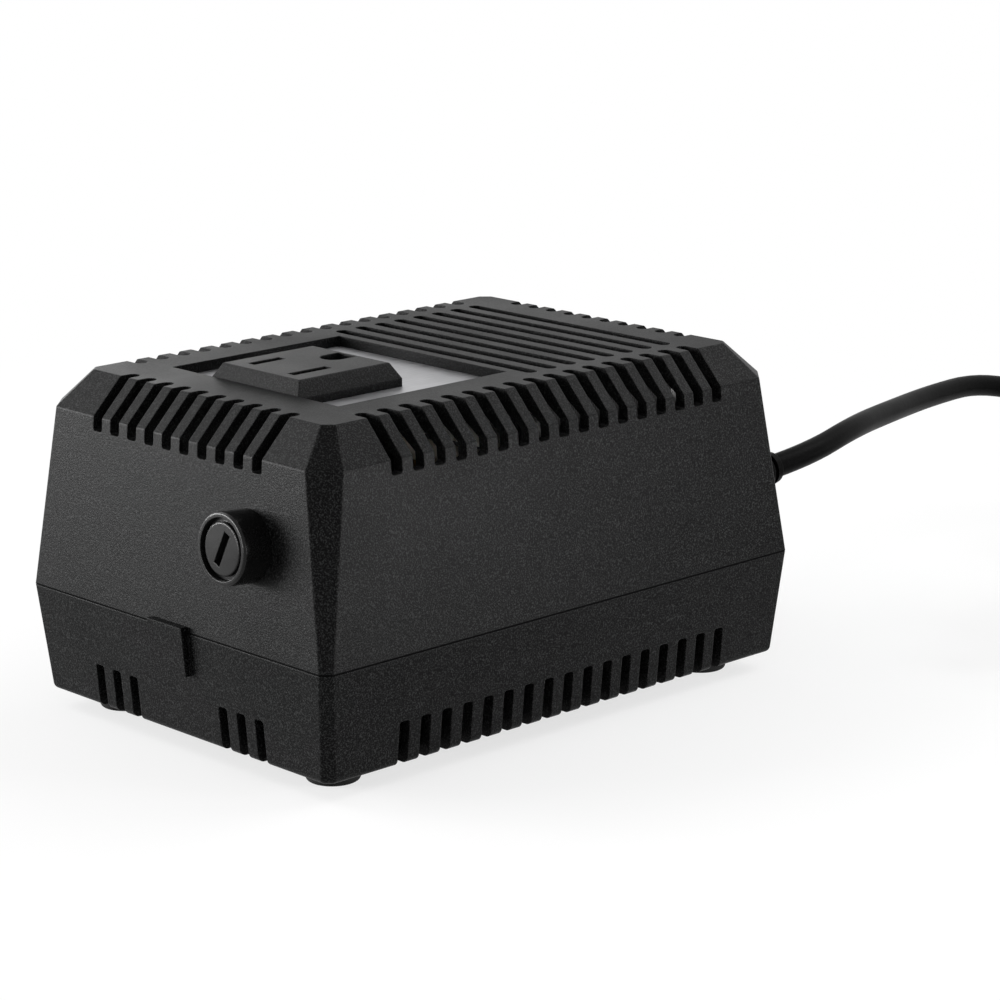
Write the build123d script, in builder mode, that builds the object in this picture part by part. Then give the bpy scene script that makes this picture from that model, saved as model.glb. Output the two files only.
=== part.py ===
from build123d import *
from math import atan2, cos, degrees, dist, floor, pi, radians, sin, tan
import os

# A desktop step-down voltage converter: a two-part plastic case with a recessed outlet on top,
# a fuse holder on the front wall, a transformer inside and a mains cord out of the back.
# Millimetres, +Z up. The origin is on the table under the middle of the case, -Y is the fuse end.

# Case outside. The widths and lengths are those of the waist, where the two shells meet
case_width = 89.5
case_length = 124.9
standing_gap = 3.5
lower_side_height = 21.75
upper_side_height = 36.25
bevel_height = 6.8
base_draft_x = 2.25
base_draft_y = 1.95
shoulder_draft_x = 2.7
shoulder_draft_y = 2.6
bevel_run_x = 6.35
bevel_run_y = 6.75
top_cut = 1.9
shoulder_cut = 4.8
waist_cut = 1.8
base_cut = 1.8
base_round = 1.5
edge_round = 0.7
parting_chamfer = 0.25

# Case walls, and how much of a corner cut the inside of a wall keeps
wall = 2.3
top_wall = 2.5
floor_wall = 2.4
inner_cut_share = 0.7
overrun = 1.0
fit_gap = 0.15
screw_gap = 0.05

# Joint between the shells
lip_height = 1.5
lip_wall = 1.2
lip_root = 4.0
lip_outer_wall = 1.0
lip_gap = 0.3

# Vent slots
slot_pitch = 5.3
slot_width = 2.7
slot_corner_radius = 0.6
side_slot_margin = 8.0
end_slot_margin = 9.0
slot_drop = 2.8
side_slot_inset = 4.2
end_slot_inset = 3.2
deck_slot_inset = 6.8
low_slot_width = 2.5
low_slot_height = 8.8
low_slot_reach = 6.0
low_end_slot_count = 3
low_end_group_x = 18.9

# Screw posts in the four corners, with a foot below each
post_inset_x = 13.25
post_inset_y = 12.65
post_radius = 3.2
low_post_radius = 5.0
post_joint_height = 13.9
case_screw_radius = 1.5
case_screw_length = 15.5
case_screw_head_radius = 3.0
case_screw_head_height = 2.2
screw_hole_gap = 0.2
drive_recess_radius = 1.4
drive_recess_depth = 1.0
drive_recess_width = 0.7
foot_radius = 5.2
foot_round = 0.8
foot_plug_radius = 3.5
foot_plug_height = 2.0
foot_head_gap = 0.2

# Latch cover on the front of the lower shell
latch_width = 10.4
latch_height = 9.7
latch_rise = 1.15
latch_proud = 1.5
latch_gap = 0.1
latch_root = 1.4
latch_dimple_radius = 1.2
latch_dimple_depth = 0.4

# Recess for the outlet and the bare plate beside it
recess_side_inset = 11.1
recess_length = 42.8
recess_front_inset = 12.1
plate_drop = 2.05
plate_thickness = 0.8
tray_wall = 1.6
tray_border = 2.0
plate_corner = 1.0

# Outlet with two blade slots and a ground pin hole
outlet_side = 26.0
outlet_face_side = 22.5
outlet_bevel_height = 3.1
outlet_rise = 2.6
outlet_front_gap = 0.2
outlet_edge_round = 0.4
outlet_housing_side = 24.0
outlet_housing_depth = 24.6
outlet_shoulder_depth = 13.05
outlet_front_wall = 4.4
ear_span = 41.0
ear_width = 10.0
ear_thickness = 2.5
ear_screw_x = 17.0
ear_screw_radius = 1.5
ear_screw_head_radius = 2.7
ear_screw_head_height = 1.8
ear_screw_length = 7.0
ear_post_radius = 3.0
blade_spacing = 12.7
blade_to_ground = 11.9
blade_line_offset = 4.5
blade_slot_width = 2.1
line_slot_length = 7.8
neutral_slot_length = 9.3
ground_hole_width = 5.4
ground_hole_length = 6.2
blade_pocket_width = 5.2
blade_pocket_length = 10.6
ground_pocket_width = 7.6
ground_pocket_length = 7.2
outlet_cover_thickness = 2.0
contact_thickness = 0.5
contact_width = 6.3
contact_gap = 1.6
contact_height = 14.0
ground_contact_gap = 4.9
ground_contact_width = 5.0
tail_width = 3.0
tail_length = 7.8
tail_gap = 0.3

# Fuse holder on the front wall, with the fuse that its cap carries
fuse_post_gap = 0.4
fuse_height = 19.85
bezel_radius = 6.9
bezel_length = 6.3
bezel_round = 0.5
barrel_radius = 6.0
barrel_length = 26.0
barrel_end_wall = 2.0
cap_radius = 5.8
cap_disc_radius = 5.0
cap_head_length = 4.5
cap_face_drop = 0.3
cap_ring_drop = 0.9
cap_round = 0.3
cap_slot_length = 6.7
cap_slot_width = 1.7
cap_slot_depth = 1.6
cap_slot_turn = 24.0
cap_gap = 0.08
carrier_radius = 4.0
carrier_length = 6.1
carrier_bore_radius = 2.75
fuse_radius = 2.6
fuse_length = 20.0
fuse_end_length = 6.0
fuse_end_wall = 0.2
fuse_glass_wall = 0.6
fuse_wire_radius = 0.15
fuse_inset = 2.0
spring_radius = 1.9
spring_wire_radius = 0.2
spring_half_turns = 7
sleeve_radius = 4.0
sleeve_bore_radius = 2.9
sleeve_start = 5.4
sleeve_length = 10.6
lug_width = 3.2
lug_thickness = 0.8
lug_reach = 10.5
rear_disc_radius = 3.2
rear_stem_radius = 1.0
rear_tab_length = 6.0
washer_radius = 8.0
washer_thickness = 0.8
nut_across = 16.0
nut_thickness = 3.0

# Transformer, standing on the floor behind the outlet. It fills the case but for these gaps
core_side_gap = 6.75
core_top_gap = 4.3
core_front_gap = 1.2
winding_post_gap = 1.15
bolt_radius = 2.0
bolt_hole_gap = 0.15
bolt_head_radius = 3.5
bolt_head_height = 2.6
bolt_nut_across = 7.0
bolt_nut_thickness = 3.2
bolt_tail = 1.0
strap_edge = 1.0
bracket_thickness = 1.5
foot_leg_length = 14.0
foot_bolt_gap = 0.5
bracket_screw_edge = 5.0
bracket_screw_reach = 8.0
bracket_screw_head_radius = 3.8
bracket_screw_head_height = 1.9
bobbin_gap = 0.2
bobbin_wall = 1.0
flange_thickness = 1.2
flange_inset = 0.3
winding_gap = 0.05
winding_core_gap = 1.35
barrier_thickness = 0.3
primary_share = 0.59
tape_thickness = 0.3
winding_round = 2.0
cutout_width = 4.6
cutout_length = 12.0
cutout_thickness = 3.2
cutout_round = 0.6

# Leads inside the case
lead_radius = 1.0
lead_bend = 3.0
lead_drop = 7.5
lead_lane_gap = 4.2
relief_lead_run = 1.6
neutral_lead_run = 3.3

# Cord, its strain relief and its plug
cord_radius = 2.5
cord_post_offset = 1.5
cord_height = 11.95
relief_radius = 5.0
relief_end_radius = 3.3
relief_flange_radius = 6.5
relief_flange_thickness = 1.8
relief_out_length = 11.2
relief_in_length = 4.6
relief_groove_count = 3
relief_groove_width = 1.2
relief_groove_radius = 2.85
core_lead_offset = 2.2
coil_x = 66.0
coil_y = 184.0
coil_radius = 34.0
coil_turn_gap = 0.5
coil_half_turns_in = 5
coil_half_turns_out = 4
tail_run = 22.0
plug_length = 36.0
plug_width = 35.3
plug_thickness = 13.7
plug_neck_width = 14.0
plug_shoulder_length = 17.0
plug_edge_round = 1.6
plug_sleeve_radius = 3.5
plug_relief_length = 12.0
plug_relief_radius = 4.6
pin_spacing = 18.6
pin_radius = 2.0
pin_length = 19.0
pin_sleeve_radius = 1.75
pin_sleeve_length = 10.0
pin_core_radius = 1.4
pin_root = 4.0
pin_tip_round = 1.2
cord_exit_run = 12.0
# An arc takes this share of the shorter run beside it
arc_share = 0.45

# Heights of the case
base_z = standing_gap
floor_z = base_z + floor_wall
waist_z = base_z + lower_side_height
shoulder_z = waist_z + upper_side_height
top_z = shoulder_z + bevel_height
ceiling_z = top_z - top_wall
post_joint_z = base_z + post_joint_height

# Outlines of the case at its four heights: width, length and corner cut
waist_size = (case_width, case_length, waist_cut)
base_size = (case_width - 2 * base_draft_x, case_length - 2 * base_draft_y, base_cut)
shoulder_size = (case_width - 2 * shoulder_draft_x, case_length - 2 * shoulder_draft_y, shoulder_cut)
top_size = (shoulder_size[0] - 2 * bevel_run_x, shoulder_size[1] - 2 * bevel_run_y, top_cut)

wall_tilt = degrees(atan2(shoulder_draft_y, upper_side_height))
post_x = case_width / 2 - post_inset_x
post_y = case_length / 2 - post_inset_y
posts = [(side * post_x, end * post_y) for side in (-1, 1) for end in (-1, 1)]


def size_between(low, high, share):
    """The outline at a share of the way from one height of the case to the next."""
    return tuple(a + (b - a) * share for a, b in zip(low, high))


def case_section(size, z, inset=0, cut_share=1):
    """A rectangle with cut corners at one height of the case."""
    width, length, cut = size
    with BuildSketch(Plane.XY.offset(z)) as section:
        Rectangle(width - 2 * inset, length - 2 * inset)
        chamfer(section.vertices(), cut * cut_share)
    return section.sketch


def inner_section(size, z, inset=wall):
    return case_section(size, z, inset, inner_cut_share)


def upper_wall_half_length(z):
    """Half the case's length at a height on the upper shell's sides."""
    return case_length / 2 - shoulder_draft_y * (z - waist_z) / upper_side_height


def lower_wall_half_length(z):
    return case_length / 2 - base_draft_y * (waist_z - z) / lower_side_height


def tube_path(points, radii):
    """Straight runs joined by tangent arcs."""
    with BuildLine() as path:
        FilletPolyline(*points, radius=radii)
    return path.wire()


def tube(path, radius):
    """A round tube along a path."""
    with BuildPart() as solid:
        with BuildSketch(Plane(origin=path @ 0, z_dir=path % 0)):
            Circle(radius)
        sweep(path=path)
    return solid.part


def save(part, name):
    part.label = name
    export_step(part, f"parts/{name}.step")


os.makedirs("parts", exist_ok=True)

# The slots stand on one grid about the middle of the case, as many as there is room for
side_slot_reach = floor((top_size[1] / 2 - side_slot_margin) / slot_pitch)
side_slot_count = 2 * side_slot_reach + 1
end_slot_count = 2 * round((top_size[0] / 2 - end_slot_margin) / slot_pitch)

# Recess and outlet places
recess_width = top_size[0] - 2 * recess_side_inset
recess_front_y = -(top_size[1] / 2 - recess_front_inset)
recess_y = recess_front_y + recess_length / 2
tray_back_y = recess_front_y + recess_length + tray_border
plate_top_z = top_z - plate_drop
tray_z = plate_top_z - plate_thickness
tray_bottom_z = tray_z - tray_wall
outlet_y = recess_front_y + outlet_front_gap + outlet_side / 2
outlet_z = top_z + outlet_rise
ear_z = outlet_z - outlet_shoulder_depth
housing_bottom_z = outlet_z - outlet_housing_depth
blade_y = outlet_y - blade_line_offset
ground_y = blade_y + blade_to_ground
ear_screws = [(-ear_screw_x, outlet_y), (ear_screw_x, outlet_y)]

# The fuse holder and the strain relief stand square to the sloping end walls
fuse_x = post_x - post_radius - fuse_post_gap - barrel_radius
fuse_z = waist_z + fuse_height
cord_x = post_x - cord_post_offset
cord_z = waist_z + cord_height
wall_rise = sin(radians(wall_tilt))
wall_run = cos(radians(wall_tilt))
fuse_plane = Plane(
    origin=(fuse_x, -upper_wall_half_length(fuse_z), fuse_z),
    x_dir=(1, 0, 0),
    z_dir=(0, -wall_run, wall_rise),
)
fuse_axis = Axis(origin=fuse_plane.origin, direction=fuse_plane.z_dir)
cord_plane = Plane(
    origin=(cord_x, upper_wall_half_length(cord_z), cord_z),
    x_dir=(-1, 0, 0),
    z_dir=(0, wall_run, wall_rise),
)

# One vent slot through the shoulder, lying along +X, cut from the side and from above
side_slot_start = top_size[0] / 2 - side_slot_inset
end_slot_start = top_size[1] / 2 - end_slot_inset
slot_low_z = shoulder_z - slot_drop


def shoulder_slot(start, end):
    """A cutter from the top face over the shoulder, round at its inner end and square below."""
    height = top_z + overrun - slot_low_z
    with BuildPart() as cutter:
        with BuildSketch(Plane.XY.offset(slot_low_z)):
            with Locations(((start + end) / 2, 0)):
                Rectangle(end - start - slot_width, slot_width)
            with Locations((start + slot_width / 2, 0)):
                Circle(slot_width / 2)
        extrude(amount=height)
        with BuildSketch(Plane.YZ.offset(start)):
            with Locations((0, slot_low_z + height / 2)):
                RectangleRounded(slot_width, height, slot_corner_radius)
        extrude(amount=end - start, mode=Mode.INTERSECT)
    return cutter.part


# Upper shell
with BuildPart() as upper_shell:
    loft(
        [
            case_section(waist_size, waist_z),
            case_section(shoulder_size, shoulder_z),
            case_section(top_size, top_z),
        ],
        ruled=True,
    )
    rim = upper_shell.faces().sort_by(Axis.Z)[0].edges()
    fillet(upper_shell.edges() - rim, edge_round)
    loft(
        [
            inner_section(waist_size, waist_z),
            inner_section(shoulder_size, shoulder_z),
            inner_section(top_size, ceiling_z),
        ],
        ruled=True,
        mode=Mode.SUBTRACT,
    )
    # Tray under the recess
    with BuildSketch(Plane.XY.offset(tray_bottom_z)):
        with Locations((0, recess_y)):
            Rectangle(recess_width + 2 * tray_border, recess_length + 2 * tray_border)
    extrude(amount=ceiling_z - tray_bottom_z)
    with BuildSketch(Plane.XY.offset(tray_z)):
        with Locations((0, recess_y)):
            Rectangle(recess_width, recess_length)
    extrude(amount=top_z - tray_z, mode=Mode.SUBTRACT)
    # Posts for the case screws and for the outlet's ears
    with BuildSketch(Plane.XY.offset(post_joint_z)):
        with Locations(*posts):
            Circle(post_radius)
    extrude(amount=ceiling_z + overrun - post_joint_z)
    with BuildSketch(Plane.XY.offset(ear_z)):
        with Locations(*ear_screws):
            Circle(ear_post_radius)
    extrude(amount=tray_bottom_z - ear_z)
    # Screw holes, outlet opening, fuse hole and cord hole
    with BuildSketch(Plane.XY.offset(post_joint_z)):
        with Locations(*posts):
            Circle(case_screw_radius + screw_gap)
    extrude(amount=case_screw_length, mode=Mode.SUBTRACT)
    with BuildSketch(Plane.XY.offset(ear_z)):
        with Locations(*ear_screws):
            Circle(ear_screw_radius + screw_gap)
    extrude(amount=tray_bottom_z - ear_z - fit_gap, mode=Mode.SUBTRACT)
    with BuildSketch(Plane.XY.offset(ear_z)):
        with Locations((0, outlet_y)):
            Rectangle(outlet_side + 2 * fit_gap, outlet_side + 2 * fit_gap)
    extrude(amount=tray_z + overrun - ear_z, mode=Mode.SUBTRACT)
    with BuildSketch(fuse_plane):
        Circle(barrel_radius + fit_gap)
    extrude(amount=2 * wall, both=True, mode=Mode.SUBTRACT)
    with BuildSketch(cord_plane):
        Circle(relief_radius + fit_gap)
    extrude(amount=2 * wall, both=True, mode=Mode.SUBTRACT)
    # Vent slots over the sides, over the ends and across the deck
    side_slot = shoulder_slot(side_slot_start, case_width / 2 + overrun)
    end_slot = shoulder_slot(end_slot_start, case_length / 2 + overrun)
    with GridLocations(0, slot_pitch, 1, side_slot_count):
        add(side_slot, mode=Mode.SUBTRACT)
        add(side_slot, rotation=(0, 0, 180), mode=Mode.SUBTRACT)
    with GridLocations(slot_pitch, 0, end_slot_count, 1):
        add(end_slot, rotation=(0, 0, 90), mode=Mode.SUBTRACT)
        add(end_slot, rotation=(0, 0, -90), mode=Mode.SUBTRACT)
    first_deck_slot = floor((tray_back_y + slot_width / 2) / slot_pitch) + 1
    with BuildSketch(Plane.XY.offset(ceiling_z - overrun)):
        with Locations((0, slot_pitch * (first_deck_slot + side_slot_reach) / 2)):
            with GridLocations(0, slot_pitch, 1, side_slot_reach - first_deck_slot + 1):
                SlotOverall(top_size[0] - 2 * deck_slot_inset, slot_width)
    extrude(amount=top_wall + 2 * overrun, mode=Mode.SUBTRACT)

save(upper_shell.part, "upper_shell")

# Transformer places: the legs and windows of its sheets are one leg wide, the middle leg is two
leg = (case_width - 2 * (shoulder_draft_x + wall + core_side_gap)) / 6
core_width = 6 * leg
core_z = floor_z
core_top_z = ceiling_z - core_top_gap
window_height = core_top_z - core_z - 2 * leg
core_front_y = tray_back_y + core_front_gap
core_back_y = post_y - winding_post_gap - (leg - winding_core_gap)
core_y = (core_front_y + core_back_y) / 2
stack = core_back_y - core_front_y
bolt_x = (core_width - leg) / 2
foot_leg_width = 2 * (bolt_x - bolt_head_radius - foot_bolt_gap)
bracket_screw_x = foot_leg_width / 2 - bracket_screw_edge

# Lower shell
floor_share = floor_wall / lower_side_height
latch_bottom_z = waist_z + latch_rise - latch_height
latch_back_y = -(case_length / 2 + latch_gap)
latch_low_y = -lower_wall_half_length(latch_bottom_z)
bracket_screws = [
    (side * bracket_screw_x, core_y + end * (stack / 2 + bracket_screw_reach))
    for side in (-1, 1)
    for end in (-1, 1)
]

with BuildPart() as lower_shell:
    loft([case_section(base_size, base_z), case_section(waist_size, waist_z)], ruled=True)
    chamfer(lower_shell.faces().sort_by(Axis.Z)[-1].edges(), parting_chamfer)
    fillet(lower_shell.faces().sort_by(Axis.Z)[0].edges(), base_round)
    corners = lower_shell.edges().filter_by(lambda edge: edge.bounding_box().size.Z > 2 * base_round)
    fillet(corners, edge_round)
    loft(
        [
            inner_section(size_between(base_size, waist_size, floor_share), floor_z),
            inner_section(waist_size, waist_z),
        ],
        ruled=True,
        mode=Mode.SUBTRACT,
    )
    # Thickened rim and the lip that stands inside the upper shell
    lip_inset = wall + lip_gap
    with BuildSketch(Plane.XY.offset(waist_z - lip_root)):
        add(case_section(waist_size, 0, lip_outer_wall, inner_cut_share))
        add(case_section(waist_size, 0, lip_inset + lip_wall, inner_cut_share), mode=Mode.SUBTRACT)
    extrude(amount=lip_root)
    with BuildSketch(Plane.XY.offset(waist_z)):
        add(case_section(waist_size, 0, lip_inset, inner_cut_share))
        add(case_section(waist_size, 0, lip_inset + lip_wall, inner_cut_share), mode=Mode.SUBTRACT)
    extrude(amount=lip_height)
    # Posts with room below for the screw head and the foot's plug
    with BuildSketch(Plane.XY.offset(floor_z)):
        with Locations(*posts):
            Circle(low_post_radius)
    extrude(amount=post_joint_z - floor_z)
    with BuildSketch(Plane.XY.offset(base_z)):
        with Locations(*posts):
            Circle(foot_plug_radius + fit_gap)
    extrude(amount=foot_plug_height + foot_head_gap + case_screw_head_height, mode=Mode.SUBTRACT)
    with BuildSketch(Plane.XY.offset(base_z)):
        with Locations(*posts):
            Circle(case_screw_radius + screw_hole_gap)
    extrude(amount=post_joint_z - base_z, mode=Mode.SUBTRACT)
    # Countersunk holes for the transformer's screws
    with Locations(Plane.XY.offset(base_z)):
        with Locations(*bracket_screws):
            with Locations(Rotation(180, 0, 0)):
                CounterSinkHole(
                    bolt_radius + bolt_hole_gap, bracket_screw_head_radius + bolt_hole_gap, floor_wall
                )
    # Latch cover, which laps over the upper shell
    with BuildSketch(Plane.YZ):
        with BuildLine():
            Polyline(
                (latch_back_y, waist_z),
                (latch_back_y, waist_z + latch_rise),
                (latch_back_y - latch_proud, waist_z + latch_rise),
                (latch_low_y - latch_proud, latch_bottom_z),
                (latch_low_y + latch_root, latch_bottom_z),
                (latch_low_y + latch_root, waist_z),
                close=True,
            )
        make_face()
    extrude(amount=latch_width / 2, both=True)
    with BuildSketch(Plane.XZ.offset(-latch_low_y + latch_proud)):
        with Locations((0, latch_bottom_z + latch_height / 2)):
            Circle(latch_dimple_radius)
    extrude(amount=-latch_dimple_depth, mode=Mode.SUBTRACT)
    # Vent slots through the side walls and the edge of the floor
    for side in (0, 180):
        with BuildSketch(Plane.YZ.rotated((0, 0, side)).offset(base_size[0] / 2 - low_slot_reach)):
            with GridLocations(slot_pitch, 0, side_slot_count, 1):
                with Locations((0, base_z + (low_slot_height - overrun) / 2)):
                    RectangleRounded(low_slot_width, low_slot_height + overrun, slot_corner_radius)
        extrude(amount=low_slot_reach + base_draft_x, mode=Mode.SUBTRACT)
    for end in (0, 180):
        with BuildSketch(Plane.XZ.rotated((0, 0, end)).offset(base_size[1] / 2 - low_slot_reach)):
            with Locations((-low_end_group_x, 0), (low_end_group_x, 0)):
                with GridLocations(slot_pitch, 0, low_end_slot_count, 1):
                    with Locations((0, base_z + (low_slot_height - overrun) / 2)):
                        RectangleRounded(
                            low_slot_width, low_slot_height + overrun, slot_corner_radius
                        )
        extrude(amount=low_slot_reach + base_draft_y, mode=Mode.SUBTRACT)

save(lower_shell.part, "lower_shell")

# Bare plate in the recess, beside and behind the outlet
with BuildPart() as label_plate:
    with BuildSketch(Plane.XY.offset(tray_z)):
        with Locations((0, recess_y)):
            RectangleRounded(recess_width - 2 * fit_gap, recess_length - 2 * fit_gap, plate_corner)
        with Locations((0, outlet_y)):
            Rectangle(outlet_side + 2 * fit_gap, outlet_side + 2 * fit_gap, mode=Mode.SUBTRACT)
    extrude(amount=plate_thickness)

save(label_plate.part, "label_plate")

# Rubber feet, each with a plug that fills the screw's counterbore
with BuildPart() as rubber_feet:
    with BuildSketch():
        with Locations(*posts):
            Circle(foot_radius)
    extrude(amount=standing_gap)
    fillet(rubber_feet.faces().group_by(Axis.Z)[0].edges(), foot_round)
    with BuildSketch(Plane.XY.offset(base_z)):
        with Locations(*posts):
            Circle(foot_plug_radius)
    extrude(amount=foot_plug_height)

save(rubber_feet.part, "rubber_feet")


def upright_screws(places, seat_z, radius, length, head_radius, head_height):
    """Screws standing head down: the head lies under seat_z and the shank goes up from it."""
    with BuildPart() as group:
        with BuildSketch(Plane.XY.offset(seat_z - head_height)):
            with Locations(*places):
                Circle(head_radius)
        extrude(amount=head_height)
        with BuildSketch(Plane.XY.offset(seat_z)):
            with Locations(*places):
                Circle(radius)
        extrude(amount=length)
        with BuildSketch(Plane.XY.offset(seat_z - head_height)):
            with Locations(*places):
                Rectangle(2 * drive_recess_radius, drive_recess_width)
                Rectangle(drive_recess_width, 2 * drive_recess_radius)
        extrude(amount=drive_recess_depth, mode=Mode.SUBTRACT)
    return group.part


case_screw_seat_z = base_z + foot_plug_height + foot_head_gap + case_screw_head_height
case_screws = upright_screws(
    posts,
    case_screw_seat_z,
    case_screw_radius,
    case_screw_length,
    case_screw_head_radius,
    case_screw_head_height,
)
save(case_screws, "case_screws")

# Outlet body: a bevelled face over a housing with three pockets, held by two ears
line_x = -blade_spacing / 2
neutral_x = blade_spacing / 2
pocket_top_z = outlet_z - outlet_front_wall

with BuildPart() as outlet_body:
    with BuildSketch(Plane.XY.offset(ear_z)):
        with Locations((0, outlet_y)):
            Rectangle(outlet_side, outlet_side)
    extrude(amount=outlet_z - outlet_bevel_height - ear_z)
    with BuildSketch(Plane.XY.offset(outlet_z - outlet_bevel_height)):
        with Locations((0, outlet_y)):
            Rectangle(outlet_side, outlet_side)
    with BuildSketch(Plane.XY.offset(outlet_z)):
        with Locations((0, outlet_y)):
            Rectangle(outlet_face_side, outlet_face_side)
    loft(ruled=True)
    fillet(outlet_body.faces().sort_by(Axis.Z)[-1].edges(), outlet_edge_round)
    with BuildSketch(Plane.XY.offset(ear_z - ear_thickness)):
        with Locations((0, outlet_y)):
            Rectangle(ear_span, ear_width)
    extrude(amount=ear_thickness)
    with BuildSketch(Plane.XY.offset(housing_bottom_z)):
        with Locations((0, outlet_y)):
            Rectangle(outlet_housing_side, outlet_housing_side)
    extrude(amount=ear_z - housing_bottom_z)
    # Pockets for the contacts, then the openings in the face
    with BuildSketch(Plane.XY.offset(housing_bottom_z)):
        with Locations((line_x, blade_y), (neutral_x, blade_y)):
            Rectangle(blade_pocket_width, blade_pocket_length)
        with Locations((0, ground_y)):
            Rectangle(ground_pocket_width, ground_pocket_length)
    extrude(amount=pocket_top_z - housing_bottom_z, mode=Mode.SUBTRACT)
    with BuildSketch(Plane.XY.offset(housing_bottom_z)):
        with Locations((line_x, blade_y)):
            Rectangle(blade_slot_width, line_slot_length)
        with Locations((neutral_x, blade_y)):
            Rectangle(blade_slot_width, neutral_slot_length)
        with Locations((0, ground_y + ground_hole_width / 4)):
            Rectangle(ground_hole_width, ground_hole_length - ground_hole_width / 2)
        with Locations((0, ground_y - (ground_hole_length - ground_hole_width) / 2)):
            Circle(ground_hole_width / 2)
    extrude(amount=outlet_z + overrun - housing_bottom_z, mode=Mode.SUBTRACT)
    with BuildSketch(Plane.XY.offset(ear_z - ear_thickness)):
        with Locations(*ear_screws):
            Circle(ear_screw_radius + screw_hole_gap)
    extrude(amount=ear_thickness, mode=Mode.SUBTRACT)

save(outlet_body.part, "outlet_body")

outlet_screws = upright_screws(
    ear_screws,
    ear_z - ear_thickness,
    ear_screw_radius,
    ear_screw_length,
    ear_screw_head_radius,
    ear_screw_head_height,
)
save(outlet_screws, "outlet_screws")

with BuildPart() as outlet_rear_cover:
    with BuildSketch(Plane.XY.offset(housing_bottom_z - outlet_cover_thickness)):
        with Locations((0, outlet_y)):
            Rectangle(outlet_housing_side, outlet_housing_side)
        with Locations((line_x, blade_y), (neutral_x, blade_y), (0, ground_y)):
            Rectangle(
                contact_thickness + 2 * tail_gap, tail_width + 2 * tail_gap, mode=Mode.SUBTRACT
            )
    extrude(amount=outlet_cover_thickness)

save(outlet_rear_cover.part, "outlet_rear_cover")


def spring_contact(place, gap, width):
    """Two upright leaves on a base, with a solder tail through the rear cover."""
    x, y = place
    with BuildPart() as contact:
        with BuildSketch(Plane.XY.offset(housing_bottom_z)):
            with Locations((x, y)):
                Rectangle(gap + 2 * contact_thickness, width)
        extrude(amount=contact_thickness)
        with BuildSketch(Plane.XY.offset(housing_bottom_z + contact_thickness)):
            with Locations((x, y)):
                with GridLocations(gap + contact_thickness, 0, 2, 1):
                    Rectangle(contact_thickness, width)
        extrude(amount=contact_height)
        with BuildSketch(Plane.XY.offset(housing_bottom_z)):
            with Locations((x, y)):
                Rectangle(contact_thickness, tail_width)
        extrude(amount=-tail_length)
    return contact.part


save(spring_contact((line_x, blade_y), contact_gap, contact_width), "line_contact")
save(spring_contact((neutral_x, blade_y), contact_gap, contact_width), "neutral_contact")
save(spring_contact((0, ground_y), ground_contact_gap, ground_contact_width), "ground_contact")

# Fuse holder body: bezel outside the wall, barrel inside it
wall_depth = wall * wall_run
cap_back = bezel_length - cap_face_drop - cap_head_length
sleeve_end = sleeve_start + sleeve_length


def fuse_ring(start, length, outer, inner):
    """A round ring on the fuse holder's axis, from start outwards."""
    with BuildPart() as ring:
        with BuildSketch(fuse_plane.offset(start)):
            Circle(outer)
            Circle(inner, mode=Mode.SUBTRACT)
        extrude(amount=length)
    return ring.part


with BuildPart() as fuse_holder_body:
    with BuildSketch(fuse_plane):
        Circle(bezel_radius)
    extrude(amount=bezel_length)
    fillet(fuse_holder_body.faces().sort_by(fuse_axis)[-1].edges(), bezel_round)
    with BuildSketch(fuse_plane):
        Circle(barrel_radius)
    extrude(amount=-barrel_length)
    with BuildSketch(fuse_plane.offset(bezel_length)):
        Circle(cap_radius + cap_gap)
    extrude(amount=-(bezel_length - cap_back + cap_gap), mode=Mode.SUBTRACT)
    with BuildSketch(fuse_plane.offset(cap_back)):
        Circle(carrier_radius + cap_gap)
    extrude(amount=-(cap_back + barrel_length - barrel_end_wall), mode=Mode.SUBTRACT)
    with BuildSketch(fuse_plane.offset(-barrel_length)):
        Circle(rear_stem_radius + screw_gap)
    extrude(amount=barrel_end_wall, mode=Mode.SUBTRACT)
    with BuildSketch(fuse_plane.offset(-sleeve_end - tail_gap)):
        with Locations((0, -barrel_radius)):
            Rectangle(lug_width + 2 * tail_gap, barrel_radius)
    extrude(amount=lug_thickness + 2 * tail_gap, mode=Mode.SUBTRACT)

save(fuse_holder_body.part, "fuse_holder_body")
save(
    fuse_ring(
        -wall_depth - washer_thickness, washer_thickness, washer_radius, barrel_radius + screw_gap
    ),
    "fuse_holder_washer",
)

nut_back = wall_depth + washer_thickness + nut_thickness
with BuildPart() as fuse_holder_nut:
    with BuildSketch(fuse_plane.offset(-nut_back)):
        RegularPolygon(nut_across / 2, side_count=6, major_radius=False)
        Circle(barrel_radius + screw_gap, mode=Mode.SUBTRACT)
    extrude(amount=nut_thickness)

save(fuse_holder_nut.part, "fuse_holder_nut")

# Contacts of the fuse holder: a sleeve with a lug at the side and a button at the end
with BuildPart() as fuse_side_terminal:
    with BuildSketch(fuse_plane.offset(-sleeve_end)):
        Circle(sleeve_radius)
        Circle(sleeve_bore_radius, mode=Mode.SUBTRACT)
    extrude(amount=sleeve_length)
    with BuildSketch(fuse_plane.offset(-sleeve_end)):
        with Locations((0, -(lug_reach + sleeve_bore_radius + tail_gap) / 2)):
            Rectangle(lug_width, lug_reach - sleeve_bore_radius - tail_gap)
    extrude(amount=lug_thickness)

save(fuse_side_terminal.part, "fuse_side_terminal")

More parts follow.
